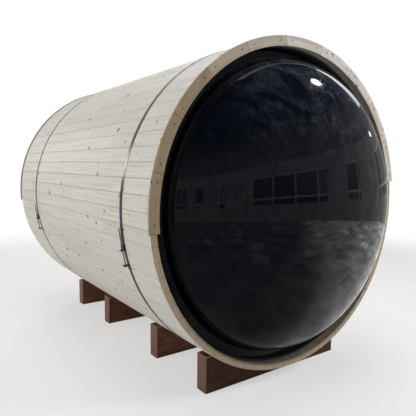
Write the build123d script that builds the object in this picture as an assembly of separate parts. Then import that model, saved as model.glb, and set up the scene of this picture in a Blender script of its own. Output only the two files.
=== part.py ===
from build123d import *
from math import cos, degrees, radians, sin, tan
import os

# Barrel sauna: a lying barrel of bead-and-cove staves drawn together by two steel hoops,
# closed in front by an acrylic dome and behind by a boarded wall with a door,
# and carried by four cradles. Sizes are in millimetres and angles in degrees.
#
# Row frame: +Z up, the dome looks along -Y, the origin is on the ground below the middle
# of the whole length.

# Barrel
barrel_radius = 1050.0
stave_count = 74
stave_thickness = 40.0
stave_length = 2693.0
stave_turn = 1.08          # angle of one stave joint above the left side's horizontal
joint_gap = 0.3            # between one stave's bead and the next one's cove
bead_radius = 13.0
bead_depth = 5.0
outer_bevel = 3.0
inner_bevel = 2.0
end_bevel = 1.5            # on the outer arris of a stave's end
groove_depth = 12.0        # of the groove that holds the rear wall

# Clearances
seat_gap = 0.3             # between a piece and what carries it
door_gap = 3.0             # between the door and its frame
cut_margin = 5.0           # by which a cutter runs past what it cuts

# Dome
dome_rise = 397.0
dome_wall = 6.0
dome_recess = 66.0         # from the stave ends back to the flange
flange_width = 69.0        # from the bubble to the flange's rim
flange_fillet = 14.0
flange_margin = 2.0        # between the flange's rim and the staves
seat_ring_thickness = 38.0
seat_ring_segments = 8
seal_width = 12.0
seal_depth = 8.0

# Fascia planks on the stave ends
fascia_overhang = 8.0      # past the barrel's outside
fascia_width = 60.0
fascia_thickness = 14.0
fascia_segments = 10
fascia_segment_angle = 17.63
fascia_start_angle = -4.9

# Hoops and their tensioners
hoop_width = 30.0
hoop_thickness = 1.5
front_hoop_place = 342.0   # from the front stave ends to the hoop's middle
rear_hoop_place = 2150.0
lower_strap_top = -6.0     # the lower strap's end, below the side's horizontal
step_angle = -4.0          # where the upper strap begins to step over the lower one
step_length = 1.0
upper_strap_bottom = -12.5
upper_ear_angle = -12.0
lower_ear_angle = -17.0
ear_height = 40.0          # of the lug's blank below the rod, trimmed to the strap
ear_top = 12.0             # above the rod
ear_thickness = 5.0
ear_foot_length = 30.0
ear_foot_thickness = 3.0
rod_radius = 4.0
rod_height = 11.0          # from the upper strap to the rod's middle, where they are nearest
rod_tangent_angle = -10.5
rod_hole_gap = 0.3
rod_top_angle = -5.0
nut_across_flats = 13.0
nut_height = 7.0

# Cradles
cradle_places = (141.0, 762.0, 1633.0, 2295.0)   # from the front stave ends to each front face
cradle_names = ("front", "front_middle", "rear_middle", "rear")
cradle_thickness = 100.0
cradle_half_width = 590.0
cradle_height = 235.0
cradle_foot = 89.0         # wood below the barrel's lowest point
cradle_bevel = 4.0

# Rear wall and door
wall_recess = 70.0         # from the rear stave ends in to the wall
wall_thickness = 40.0
board_width = 92.0
board_gap = 0.4
board_bevel = 2.5
tongue_reach = 8.0         # of the tongue on one edge of a board
tongue_thickness = 8.0
tongue_gap = 0.4           # between a tongue and the next board's groove
door_width = 680.0
door_rise = 150.0          # from the barrel's inner bottom to the foot of the door
door_head_room = 168.0     # from the top of the door to the barrel's inner top
door_thickness = 38.0
frame_face = 45.0
frame_depth = 62.0
ledge_width = 90.0
ledge_thickness = 22.0
ledge_inset = 190.0
ledge_end = 25.0
handle_length = 320.0
handle_radius = 14.0
handle_stem_radius = 9.0
handle_end = 40.0          # from the pull's end to the middle of its stem
handle_reach = 44.0
handle_side_inset = 70.0
handle_centre_height = 950.0
hinge_height = 90.0
hinge_leaf = 34.0
hinge_thickness = 2.5
hinge_pin_radius = 5.0
hinge_inset = 190.0

# Sizes that follow from the ones above
half_pitch = 180.0 / stave_count
outer_apothem = barrel_radius * cos(radians(half_pitch))
inner_apothem = outer_apothem - stave_thickness
groove_apothem = inner_apothem + groove_depth
groove_radius = groove_apothem - seat_gap
seat_radius = inner_apothem - seat_gap
flange_rim = inner_apothem - flange_margin
dome_radius = flange_rim - flange_width
fascia_outer_radius = barrel_radius + fascia_overhang
fascia_inner_radius = fascia_outer_radius - fascia_width
door_height = 2 * inner_apothem - door_rise - door_head_room
dome_projection = dome_rise - dome_recess
rear_reach = stave_length + seat_gap + fascia_thickness
overall_length = dome_projection + rear_reach
front_end_y = dome_projection - overall_length / 2
axis_height = barrel_radius + seat_gap + cradle_foot

# The barrel's own frame: x to the left, y up, z rearwards from the front stave ends.
barrel_frame = Plane(origin=(0, front_end_y, axis_height), x_dir=(-1, 0, 0), z_dir=(0, 1, 0)).location


def turned(shape, angle):
    """Turns a shape about the barrel's axis."""
    return Rot(0, 0, angle) * shape


def polar(radius, angle):
    """A point in the barrel's cross-section."""
    return (radius * cos(radians(angle)), radius * sin(radians(angle)))


def write(name, pieces):
    """Writes one named piece, or a few that share a node."""
    pieces = [barrel_frame * piece for piece in pieces]
    shape = pieces[0] if len(pieces) == 1 else Compound(children=pieces)
    export_step(shape, f"parts/{name}.step")


def slab(low, high):
    """A box between two opposite corners."""
    size = [b - a for a, b in zip(low, high)]
    middle = [(a + b) / 2 for a, b in zip(low, high)]
    return Pos(*middle) * Box(*size)


def arc_plank(inner, outer, low, high, start, sweep):
    """A plank sawn to two arcs about the barrel's axis, with radial ends."""
    end = start + sweep
    middle = start + sweep / 2
    outline = [
        Line(polar(outer, start), polar(inner, start)),
        ThreePointArc(polar(inner, start), polar(inner, middle), polar(inner, end)),
        Line(polar(inner, end), polar(outer, end)),
        ThreePointArc(polar(outer, end), polar(outer, middle), polar(outer, start)),
    ]
    return extrude(Pos(0, 0, low) * make_face(outline), high - low)


def ring_planks(inner, outer, low, high, start, sweep, count):
    """Arc planks end to end round a ring, with a joint gap sawn between each two."""
    planks = []
    for k in range(count):
        plank = arc_plank(inner, outer, low, high, start + k * sweep, sweep)
        for end in (start + k * sweep, start + (k + 1) * sweep):
            kerf = slab(
                (inner - cut_margin, -joint_gap / 2, low - cut_margin),
                (outer + cut_margin, joint_gap / 2, high + cut_margin),
            )
            plank = plank - turned(kerf, end)
        planks.append(plank)
    return planks


def edge_reach(x):
    """Half the stave's width at a distance from the barrel's axis."""
    return x * tan(radians(half_pitch)) - joint_gap / 2 / cos(radians(half_pitch))


def stave_section():
    """A flat-faced board with radial edges: a bead on one edge, and a cove that takes the next
    board's bead on the other. The outer and inner arrises are bevelled."""
    corners = [
        (outer_apothem, edge_reach(outer_apothem) - outer_bevel),
        (outer_apothem - outer_bevel, edge_reach(outer_apothem - outer_bevel)),
        (inner_apothem + inner_bevel, edge_reach(inner_apothem + inner_bevel)),
        (inner_apothem, edge_reach(inner_apothem) - inner_bevel),
    ]
    other_side = [(x, -y) for x, y in reversed(corners)]
    board = make_face(Polyline(*corners, *other_side, close=True))
    joint_radius = (outer_apothem + inner_apothem) / 2 / cos(radians(half_pitch))
    set_back = bead_radius - bead_depth
    bead_centre = Rot(0, 0, half_pitch) * Pos(joint_radius, -set_back)
    cove_centre = Rot(0, 0, -2 * half_pitch) * bead_centre
    board = board + bead_centre * Circle(bead_radius)
    return board - cove_centre * Circle(bead_radius + joint_gap)


def stave():
    """One stave, bevelled on the outer arris of its ends, with a groove across its inner face
    for the rear wall."""
    board = extrude(stave_section(), stave_length)
    end_arrises = board.edges().filter_by(Axis.Y).group_by(Axis.X)[-1]
    board = chamfer(end_arrises, end_bevel)
    half_width = barrel_radius * tan(radians(half_pitch)) + bead_depth
    low, high = wall_span
    groove = slab(
        (inner_apothem - cut_margin, -half_width, low - seat_gap),
        (groove_apothem, half_width, high + seat_gap),
    )
    return board - groove


def build_staves():
    """The round wall in eight runs of staves, from the left side up over the top."""
    names = (
        "stave_wall_left_upper",
        "stave_roof_left",
        "stave_roof_right",
        "stave_wall_right_upper",
        "stave_wall_right_lower",
        "stave_belly_right",
        "stave_belly_left",
        "stave_wall_left_lower",
    )
    one = stave()
    pitch = 2 * half_pitch
    for index, name in enumerate(names):
        first = round(stave_count * index / len(names))
        last = round(stave_count * (index + 1) / len(names))
        run = [turned(one, stave_turn + half_pitch + pitch * k) for k in range(first, last)]
        write(name, run)


def build_fascias():
    """Short curved planks on the upper stave ends, front and rear."""
    spans = {
        "front_fascia": (-seat_gap - fascia_thickness, -seat_gap),
        "rear_fascia": (stave_length + seat_gap, stave_length + seat_gap + fascia_thickness),
    }
    for name, (low, high) in spans.items():
        planks = ring_planks(
            fascia_inner_radius, fascia_outer_radius, low, high,
            fascia_start_angle, fascia_segment_angle, fascia_segments,
        )
        write(name, planks)


def dome_profile():
    """Half the dome's section, as radius and depth: an elliptic bubble blown from a flat sheet,
    with its flange left flat and a fillet between the two."""
    skin = Ellipse(dome_radius, dome_rise) - Ellipse(dome_radius - dome_wall, dome_rise - dome_wall)
    skin = skin & Pos(dome_radius / 2, -dome_rise / 2) * Rectangle(dome_radius, dome_rise)
    flange_inner = dome_radius - dome_wall
    flange =Rectangle(flange_rim - flange_inner, dome_wall, align=Align.MIN)
    section = skin + Pos(flange_inner, 0) * flange
    corner = section.vertices().sort_by_distance((dome_radius, 0))[0]
    return Pos(0, dome_recess) * fillet(corner, flange_fillet)


def build_dome():
    """The acrylic dome, the timber ring that it is screwed to and the seal round its flange. The
    ring lies against the staves' inner faces."""
    section = Rot(90, 0, 0) * dome_profile()
    write("dome_window", [revolve(section, Axis.Z, 360)])
    low, high = seat_ring_span
    sweep = 360.0 / seat_ring_segments
    write(
        "dome_seat_ring",
        ring_planks(dome_radius, seat_radius, low, high, 0, sweep, seat_ring_segments),
    )
    seal_back = dome_recess - seat_gap
    profile = Polyline(
        (seat_radius - seal_width, seal_back),
        (seat_radius, seal_back),
        (seat_radius, seal_back - seal_depth),
        close=True,
    )
    write("dome_seal", [revolve(Rot(90, 0, 0) * make_face(profile), Axis.Z, 360)])


def strap(corners, place):
    """A flat steel strap bent to an outline of arcs and short straight steps. Each corner is a
    radius and an angle, and a stretch between two corners of one radius is an arc."""
    inner = []
    outer = []
    for (r1, a1), (r2, a2) in zip(corners, corners[1:]):
        for row, extra in ((inner, 0), (outer, hoop_thickness)):
            start = polar(r1 + extra, a1)
            end = polar(r2 + extra, a2)
            if r1 == r2:
                row.append(ThreePointArc(start, polar(r1 + extra, (a1 + a2) / 2), end))
            else:
                row.append(Line(start, end))
    ends = [
        Line(polar(radius, angle), polar(radius + hoop_thickness, angle))
        for radius, angle in (corners[0], corners[-1])
    ]
    face = make_face(inner + outer + ends)
    return extrude(Pos(0, 0, place - hoop_width / 2) * face, hoop_width)


def rod_frame(reach):
    """A place on the tensioner's rod, with z along the rod downwards. The reach is measured from
    where the rod lies nearest the barrel."""
    radius = upper_strap_radius + hoop_thickness + rod_height
    start = Rot(0, 0, rod_tangent_angle) * Pos(radius, 0, 0)
    return start * Rot(90, 0, 0) * Pos(0, 0, reach)


def ear(reach, strap_radius, place, foot_side):
    """A welded lug: a plate square to the rod, with a hole for it, on a short curved foot."""
    plate_low = -ear_height
    plate = slab(
        (plate_low, -hoop_width / 2, -ear_thickness / 2),
        (ear_top, hoop_width / 2, ear_thickness / 2),
    )
    plate = plate - Cylinder(rod_radius + rod_hole_gap, 3 * ear_thickness)
    plate = Pos(0, 0, place) * rod_frame(reach) * plate
    plate = plate - Pos(0, 0, place) * Cylinder(strap_radius + hoop_thickness / 2, 2 * hoop_width)
    angle = rod_tangent_angle - degrees(reach / strap_radius)
    surface = strap_radius + hoop_thickness / 2
    sweep = degrees(ear_foot_length / strap_radius)
    start = angle if foot_side > 0 else angle - sweep
    foot = arc_plank(
        surface, surface + hoop_thickness / 2 + ear_foot_thickness,
        place - hoop_width / 2, place + hoop_width / 2, start, sweep,
    )
    return plate + foot


def tensioner_bolt(place):
    """The long bolt through both lugs, and the nut that draws them together."""
    head_seat = lower_ear_reach + ear_thickness / 2 + seat_gap
    nut_seat = upper_ear_reach - ear_thickness / 2 - seat_gap
    shank_top = degrees_to_reach(rod_top_angle)
    shank = extrude(Circle(rod_radius), head_seat - shank_top)
    shank = Pos(0, 0, place) * rod_frame(shank_top) * shank
    hexagon = RegularPolygon(nut_across_flats / 2, 6, major_radius=False)
    head = Pos(0, 0, place) * rod_frame(head_seat) * extrude(hexagon, nut_height)
    nut = extrude(hexagon - Circle(rod_radius + rod_hole_gap), nut_height)
    nut = Pos(0, 0, place) * rod_frame(nut_seat - nut_height) * nut
    return [shank + head, nut]


def degrees_to_reach(angle):
    """The reach along the rod at which it stands over a point of the barrel."""
    radius = upper_strap_radius + hoop_thickness + rod_height
    return radius * tan(radians(rod_tangent_angle - angle))


def mirrored(shape):
    """The same piece on the barrel's right side."""
    return mirror(shape, Plane.YZ)


def build_hoops():
    """Two hoops, each an upper and a lower strap drawn together by a long bolt at either side.
    The upper strap's ends step outwards and lie over the lower strap's."""
    for name, place in (("front", front_hoop_place), ("rear", rear_hoop_place)):
        half = [
            (lower_strap_radius, 90),
            (lower_strap_radius, step_angle),
            (upper_strap_radius, step_angle - step_length),
            (upper_strap_radius, upper_strap_bottom),
        ]
        other_half = [(radius, 180 - angle) for radius, angle in reversed(half[1:])]
        upper = strap(other_half + half[1:], place)
        upper_ear = ear(upper_ear_reach, upper_strap_radius, place, 1)
        write(f"{name}_hoop_upper_strap", [upper + upper_ear + mirrored(upper_ear)])
        lower = strap(
            [(lower_strap_radius, lower_strap_top), (lower_strap_radius, -180 - lower_strap_top)],
            place,
        )
        lower_ear = ear(lower_ear_reach, lower_strap_radius, place, -1)
        write(f"{name}_hoop_lower_strap", [lower + lower_ear + mirrored(lower_ear)])
        bolt = tensioner_bolt(place)
        write(f"{name}_hoop_left_bolt", bolt)
        write(f"{name}_hoop_right_bolt", [mirrored(piece) for piece in bolt])


def build_cradles():
    """Thick planks on edge, hollowed on top to the barrel's curve."""
    for name, place in zip(cradle_names, cradle_places):
        plank = slab(
            (-cradle_half_width, -axis_height, place),
            (cradle_half_width, -axis_height + cradle_height, place + cradle_thickness),
        )
        plank = chamfer(plank.edges().filter_by(Axis.Y), cradle_bevel)
        bed = Pos(0, 0, place) * Cylinder(barrel_radius + seat_gap, 4 * cradle_thickness)
        write(f"cradle_{name}", [plank - bed])


def matched_board(low_corner, high_corner, tongue, groove):
    """An upright board with bevelled edges, seen from behind the barrel: a tongue on its right edge
    and a groove in its left edge, each only where another board stands beside it."""
    board = slab(low_corner, high_corner)
    board = chamfer(board.edges().filter_by(Axis.Y), board_bevel)
    left, bottom, low = low_corner
    right, top, high = high_corner
    middle = (low + high) / 2
    if tongue:
        board = board + slab(
            (right - board_bevel, bottom, middle - tongue_thickness / 2),
            (right + tongue_reach, top, middle + tongue_thickness / 2),
        )
    if groove:
        half_slot = tongue_thickness / 2 + tongue_gap
        board = board - slab(
            (left - cut_margin, bottom - cut_margin, middle - half_slot),
            (left - board_gap + tongue_reach + tongue_gap, top + cut_margin, middle + half_slot),
        )
    return board


def board_row(left, right, bottom, top, low, high):
    """Matched boards of equal width side by side, as near to the board width as fills the row."""
    count = max(1, round((right - left) / board_width))
    width = (right - left) / count
    return [
        matched_board(
            (left + k * width + board_gap / 2, bottom, low),
            (left + (k + 1) * width - board_gap / 2, top, high),
            k < count - 1,
            k > 0,
        )
        for k in range(count)
    ]


def build_rear_wall():
    """Upright boards held in the staves' groove, beside, over and under the door."""
    low, high = wall_span
    disc = Pos(0, 0, (low + high) / 2) * Cylinder(groove_radius, 2 * wall_thickness)
    half = opening_half_width
    rows = {
        "left": (half, groove_radius, -groove_radius, groove_radius),
        "right": (-groove_radius, -half, -groove_radius, groove_radius),
        "over_door": (-half, half, opening_top, groove_radius),
        "under_door": (-half, half, -groove_radius, opening_bottom),
    }
    for name, (left, right, bottom, top) in rows.items():
        boards = board_row(left, right, bottom, top, low, high)
        write(f"rear_wall_{name}", [board & disc for board in boards])


def build_door():
    """A plain boarded door in a timber frame, shut, with two hinges and a wooden pull."""
    frame_low = wall_span[0]
    frame_high = frame_low + frame_depth
    inner_x = door_width / 2 + door_gap
    outer_x = opening_half_width - seat_gap
    inner_bottom = door_foot - door_gap
    inner_top = door_foot + door_height + door_gap
    for name, side in (("left", 1), ("right", -1)):
        left, right = sorted((side * inner_x, side * outer_x))
        jamb = slab((left, inner_bottom, frame_low), (right, inner_top, frame_high))
        write(f"door_jamb_{name}", [jamb])
    head = slab(
        (-outer_x, inner_top + seat_gap, frame_low), (outer_x, opening_top - seat_gap, frame_high)
    )
    write("door_head", [head])
    sill = slab(
        (-outer_x, opening_bottom + seat_gap, frame_low),
        (outer_x, inner_bottom - seat_gap, frame_high),
    )
    write("door_sill", [sill])
    leaf_high = frame_high
    leaf_low = leaf_high - door_thickness
    door_top = door_foot + door_height
    write(
        "door_boards",
        board_row(-door_width / 2, door_width / 2, door_foot, door_top, leaf_low, leaf_high),
    )
    ledges = []
    for height in (ledge_inset, door_height / 2, door_height - ledge_inset):
        centre = door_foot + height
        ledges.append(
            slab(
                (-door_width / 2 + ledge_end, centre - ledge_width / 2,
                 leaf_low - seat_gap - ledge_thickness),
                (door_width / 2 - ledge_end, centre + ledge_width / 2, leaf_low - seat_gap),
            )
        )
    write("door_ledges", ledges)
    hinges = []
    for height in (hinge_inset, door_height - hinge_inset):
        centre = door_foot + height
        axis_x = -door_width / 2 - door_gap / 2
        base = leaf_high + seat_gap
        plate = slab(
            (axis_x - hinge_leaf, centre - hinge_height / 2, base),
            (axis_x + hinge_leaf, centre + hinge_height / 2, base + hinge_thickness),
        )
        knuckle = Pos(axis_x, centre, base + hinge_pin_radius) * Rot(90, 0, 0)
        hinges.append(plate + knuckle * Cylinder(hinge_pin_radius, hinge_height))
    write("door_hinges", hinges)
    handle_x = door_width / 2 - handle_side_inset
    handle_y = door_foot + handle_centre_height
    bar_place = Pos(handle_x, handle_y, leaf_high + handle_reach) * Rot(90, 0, 0)
    pull = bar_place * Cylinder(handle_radius, handle_length)
    for end in (-1, 1):
        foot_y = handle_y + end * (handle_length / 2 - handle_end)
        stem_length = handle_reach - seat_gap
        stem = Pos(handle_x, foot_y, leaf_high + seat_gap + stem_length / 2)
        pull = pull + stem * Cylinder(handle_stem_radius, stem_length)
    write("door_handle", [pull])


seat_ring_span = (
    dome_recess + dome_wall + seat_gap,
    dome_recess + dome_wall + seat_gap + seat_ring_thickness,
)
wall_span = (stave_length - wall_recess - wall_thickness, stave_length - wall_recess)
lower_strap_radius = barrel_radius + seat_gap
upper_strap_radius = lower_strap_radius + hoop_thickness + seat_gap
upper_ear_reach = degrees_to_reach(upper_ear_angle)
lower_ear_reach = degrees_to_reach(lower_ear_angle)
door_foot = -inner_apothem + door_rise
opening_half_width = door_width / 2 + door_gap + frame_face
opening_bottom = door_foot - door_gap - frame_face
opening_top = door_foot + door_height + door_gap + frame_face

os.makedirs("parts", exist_ok=True)
build_staves()
build_fascias()
build_dome()
build_hoops()
build_cradles()
build_rear_wall()
build_door()
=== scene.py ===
from functools import partial
from math import cos, radians, sin
from types import SimpleNamespace

import bmesh
import bpy
import numpy as np
from mathutils import Matrix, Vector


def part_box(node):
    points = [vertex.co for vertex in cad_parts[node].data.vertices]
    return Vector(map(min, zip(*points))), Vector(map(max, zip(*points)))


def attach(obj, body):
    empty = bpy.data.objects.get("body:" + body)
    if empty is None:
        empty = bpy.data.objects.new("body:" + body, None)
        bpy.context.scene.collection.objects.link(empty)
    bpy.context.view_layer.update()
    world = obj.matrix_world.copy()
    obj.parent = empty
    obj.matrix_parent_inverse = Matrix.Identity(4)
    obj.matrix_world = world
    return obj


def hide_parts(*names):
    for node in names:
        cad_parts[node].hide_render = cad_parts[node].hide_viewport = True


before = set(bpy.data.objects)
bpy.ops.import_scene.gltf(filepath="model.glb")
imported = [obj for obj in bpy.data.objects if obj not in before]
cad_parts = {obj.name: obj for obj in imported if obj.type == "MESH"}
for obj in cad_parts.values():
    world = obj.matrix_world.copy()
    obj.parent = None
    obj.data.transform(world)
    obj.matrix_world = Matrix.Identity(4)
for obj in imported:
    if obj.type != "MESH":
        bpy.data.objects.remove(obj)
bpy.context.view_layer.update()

bl_info = {
    "name": "Barrel sauna",
    "version": (1, 0, 0),
    "blender": (4, 5, 0),
    "location": "View3D > Sidebar > Sauna",
    "description": "Dresses a barrel sauna: timber, dome window, screws, bolts and studio",
    "category": "Object",
}

# The barrel lies along Y with its dome towards -Y. The fascia's left end reaches the barrel's
# side and its top reaches the crown, so its box gives the axis height.
FASCIA_LOW, FASCIA_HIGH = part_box("front_fascia")
REAR_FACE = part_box("rear_fascia")[1][1]
DOME_LOW, DOME_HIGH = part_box("dome_window")
SEAL_LOW, SEAL_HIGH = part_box("dome_seal")
DOOR_LOW, DOOR_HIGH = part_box("door_boards")
WALL_LOW, WALL_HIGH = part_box("rear_wall_left")
MIDDLE_LOW, MIDDLE_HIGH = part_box("rear_wall_over_door")
PULL_LOW, PULL_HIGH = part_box("door_handle")
LEDGE_LOW, LEDGE_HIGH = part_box("door_ledges")
HINGE_LOW, HINGE_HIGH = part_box("door_hinges")
FASCIA_RADIUS = -FASCIA_LOW[0]
AXIS_HEIGHT = FASCIA_HIGH[2] - FASCIA_RADIUS

# The camera's place in metres and its right, up and back axes, at the photograph's angle
CAMERA_PLACE = (-2.1081, -3.1888, 1.4093)
CAMERA_AXES = ((0.81512, -0.57924, 0.00747), (0.04962, 0.08266, 0.99534),
               (-0.57716, -0.81095, 0.09612))
WHITE = (1.0, 1.0, 1.0, 1.0)
# Marks per metre in dull plating: crystals 2 mm wide, coarser than life
CRYSTALS = (500.0, 500.0, 500.0)


def linear(colour):
    """Turns a written sRGB hex colour into linear light."""
    shares = np.array([int(colour[i:i + 2], 16) / 255 for i in (1, 3, 5)])
    return tuple(np.where(shares > 0.04045, ((shares + 0.055) / 1.055) ** 2.4, shares / 12.92))


def colour_size(name, description, colour):
    """A colour that the user can change."""
    return bpy.props.FloatVectorProperty(
        name=name, description=description, default=linear(colour),
        subtype="COLOR", size=3, min=0.0, max=1.0,
    )


def length_size(name, description, metres):
    """A length that the user can change."""
    return bpy.props.FloatProperty(
        name=name, description=description, default=metres,
        subtype="DISTANCE", unit="LENGTH", precision=4, min=0.0,
    )


def angle_size(name, description, degrees):
    """An angle that the user can change."""
    return bpy.props.FloatProperty(
        name=name, description=description, default=radians(degrees),
        subtype="ANGLE", unit="ROTATION",
    )


def power_size(name, description, watts):
    """A lamp's power that the user can change."""
    return bpy.props.FloatProperty(
        name=name, description=description, default=watts, min=0.0, unit="POWER",
    )


class SaunaTimber(bpy.types.PropertyGroup):
    """Sizes and colours of the spruce boards and the stained cradles."""

    stave_colour: colour_size("Stave wood", "Earlywood of the planed staves", "#dfdcd4")
    stave_tan: colour_size("Tan stave", "The deepest tint that one stave may have", "#d1ccc3")
    fascia_colour: colour_size("Fascia wood", "Earlywood of the fascia planks", "#e6e3dc")
    # the fascia's tan is also the painted shade of its first planks, on the left
    fascia_tan: colour_size("Tan fascia", "The deepest tint of a fascia plank", "#98866b")
    board_colour: colour_size("Board wood", "Earlywood of the rear wall and door", "#e3d9c5")
    board_tan: colour_size("Tan board", "The deepest tint of a board", "#d3bf9c")
    latewood: colour_size("Latewood", "Dark line that ends each year's growth", "#b5a283")
    knot_colour: colour_size("Knot", "Heart of a knot", "#6f5b45")
    knot_rim: colour_size("Knot rim", "Bark ring round a knot", "#4a3c2f")
    end_colour: colour_size("End grain", "Tint of sawn board ends", "#a8946f")
    # the joint colour is partly dirt and partly painted shade in the joints
    grime_and_shade: colour_size("Joint grime", "Dirt and shade in the board joints", "#7b6c58")
    ring_width: length_size("Ring width", "One year's growth, drawn coarser than life", 0.006)
    knot_spacing: length_size("Knot spacing", "Cell that may hold one knot", 0.11)
    knot_radius: length_size("Knot radius", "Radius of a middling knot", 0.008)
    stave_count: bpy.props.IntProperty(
        name="Staves", description="Staves round the barrel", default=74, min=8,
    )
    stave_start: angle_size("First joint", "Angle of a stave joint above the left side", 1.08)
    piece_length: length_size("Jointed length", "Length between finger joints", 1.15)
    board_width: length_size("Board width", "Width of the wall and door boards", 0.092)
    fascia_width: length_size("Fascia width", "Width of a fascia plank", 0.060)
    fascia_start: angle_size("Fascia start", "Angle of the fascia's left end", -4.9)
    fascia_sweep: angle_size("Fascia plank", "Angle that one fascia plank covers", 17.63)
    stain_colour: colour_size("Stain", "Brown stain on the cradles", "#8d5c40")
    stain_dark: colour_size("Dark stain", "Stain where the grain drinks more", "#3b2117")
    # painted highlight: this pale colour draws the lit arrises of the cradles
    arris_highlight: colour_size("Arris highlight", "Painted highlight along the arrises", "#a58c78")
    # the low inner faces of the front rim are drawn darker in this colour
    rim_darkening: colour_size("Darker rim", "Low inner faces of the front rim, drawn darker", "#6f6650")
    stain_end: colour_size("Stained ends", "Stain on the cradles' sawn ends", "#816455")
    pull_colour: colour_size("Pull wood", "Oiled hardwood of the door pull", "#9a7245")
    pull_dark: colour_size("Pull grain", "Dark grain of the door pull", "#6b4a2a")


class SaunaDome(bpy.types.PropertyGroup):
    """Sizes and finish of the dome window and its seal."""

    flange_width: length_size("Flange width", "From the bubble to the flange's rim", 0.069)
    wall: length_size("Wall", "Thickness of the acrylic sheet", 0.006)
    fillet: length_size("Fillet", "Radius between bubble and flange", 0.014)
    colour: colour_size("Acrylic", "Body colour of the black acrylic", "#05070f")
    dust_colour: colour_size("Dust", "Dry dust that lies on the dome", "#8b92a4")
    dust: bpy.props.FloatProperty(
        name="Dust cover", description="Share of dust where it lies thickest",
        default=0.5, min=0.0, max=1.0, subtype="FACTOR",
    )
    index: bpy.props.FloatProperty(
        name="Index", description="Refractive index that sets the dome's sheen",
        default=1.34, min=1.0, max=2.0,
    )
    seal_colour: colour_size("Seal", "Black sealing bead", "#0b0b0d")


class SaunaSteel(bpy.types.PropertyGroup):
    """Sizes and finish of the hoops, bolts, hinges and screws."""

    # painted shade: the strap's colour is kept dark so that the steel mirrors the white room as
    # dimly as a dark one
    strap_darkened_colour: colour_size("Strap steel", "Rolled steel strap, drawn dark to mirror a dim room", "#383634")
    bolt_colour: colour_size("Bolt zinc", "Zinc plate of the tensioner bolts", "#8f9192")
    screw_colour: colour_size("Screw steel", "Dull zinc of the wood screws", "#6f6b63")
    hinge_colour: colour_size("Hinge paint", "Black paint of the hinges", "#141414")
    thread_pitch: length_size("Thread pitch", "Rise of the bolt's thread in one turn", 0.00125)
    thread_depth: length_size("Thread depth", "Depth of the bolt's thread", 0.0007)
    rod_radius: length_size("Rod radius", "Radius of the tensioner's rod", 0.004)
    rod_circle: length_size("Rod circle", "From the barrel's axis to the rod", 1.0646)
    rod_angle: angle_size("Rod angle", "Where the rod lies nearest, below the side", 10.5)
    nut_length: length_size("Nut length", "Length of the long tensioner nut", 0.030)
    hinge_leaf: length_size("Hinge leaf", "Thickness of a hinge leaf", 0.0025)
    nut_flats: length_size("Across flats", "Width of nut and head across flats", 0.013)
    screw_head: length_size("Screw head", "Radius of a countersunk head", 0.0046)
    screw_circle: length_size("Screw circle", "Radius at which fascia screws stand", 1.028)
    screw_inset: angle_size("Screw inset", "Angle from a fascia plank's end to its screw", 2.7)


class SaunaStudio(bpy.types.PropertyGroup):
    """Floor, lamps and camera."""

    floor_colour: colour_size("Floor", "Pale studio floor", "#f2f1ef")
    wall_colour: colour_size("Room wall", "Dim wall round the horizon", "#9c9d9e")
    window_colour: colour_size("Window side", "Paler wall on the right", "#dcdcda")
    ceiling_colour: colour_size("Ceiling", "Dark ceiling that the dome mirrors", "#2b3140")
    key_power: power_size("Key lamp", "Power of the soft lamp on the left", 350.0)
    fill_power: power_size("Fill lamp", "Power of the soft lamp in front", 165.0)
    top_power: power_size("Top lamp", "Power of the soft lamp overhead", 700.0)
    rear_power: power_size("Rear lamp", "Power of the soft lamp behind the door", 200.0)
    strap_power: power_size("Strap lamp", "Power of the lamp that the straps mirror", 26.0)
    glint_power: power_size("Glint lamp", "Power of the small lamp that the dome mirrors", 20.0)
    small_glint_power: power_size("Small glint", "Power of the dome's second glint", 0.6)
    lens: bpy.props.FloatProperty(
        name="Lens", description="Focal length of the camera", default=38.56, min=1.0,
        unit="CAMERA",
    )


# Surfaces


def pole_rings(grid):
    """Closed faces over a grid of rings. Each row is a ring that runs round once, and the first
    and last rows lie in one point, where the surface closes."""
    rows, count, _ = grid.shape
    here = np.arange(count)
    after = (here + 1) % count
    starts = 1 + count * np.arange(rows - 2)[:, None]
    low, high = starts[:-1], starts[1:]
    quads = np.stack([low + here, low + after, high + after, high + here], axis=-1).reshape(-1, 4)
    last = 1 + count * (rows - 2)
    first_fan = np.stack([np.zeros_like(here), 1 + after, 1 + here], axis=-1)
    last_fan = np.stack([np.full_like(here, last), last - count + here, last - count + after], -1)
    points = np.vstack([grid[0, :1], grid[1:-1].reshape(-1, 3), grid[-1, :1]])
    return points, quads.tolist() + first_fan.tolist() + last_fan.tolist()


def loop_rings(grid):
    """Closed faces over a grid whose rows and columns both run round, as on a tube bent to a
    ring."""
    rows, count, _ = grid.shape
    row = np.arange(rows)[:, None] * count
    next_row = (np.arange(rows)[:, None] + 1) % rows * count
    here = np.arange(count)
    after = (here + 1) % count
    quads = np.stack([row + here, row + after, next_row + after, next_row + here], axis=-1)
    return grid.reshape(-1, 3), quads.reshape(-1, 4).tolist()


def volume(points, faces):
    """Signed volume of a closed surface, from the fan of triangles in each face."""
    total = 0.0
    for size in {len(face) for face in faces}:
        corner = points[np.array([face for face in faces if len(face) == size])]
        for k in range(1, size - 1):
            cross = np.cross(corner[:, k], corner[:, k + 1])
            total += np.einsum("ij,ij->", corner[:, 0], cross) / 6
    return total


def outward(points, faces):
    """The same surface with its faces turned outwards."""
    if volume(points, faces) < 0:
        faces = [face[::-1] for face in faces]
    return points, faces


def copies(shape, places):
    """One surface repeated: every point is carried by each 4 x 4 place in turn."""
    points, faces = shape
    places = np.array(places)
    moved = np.einsum("pij,nj->pni", places[:, :3, :3], points) + places[:, None, :3, 3]
    shifted = [[corner + len(points) * k for corner in face] for k in range(len(places))
               for face in faces]
    return moved.reshape(-1, 3), shifted


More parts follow.
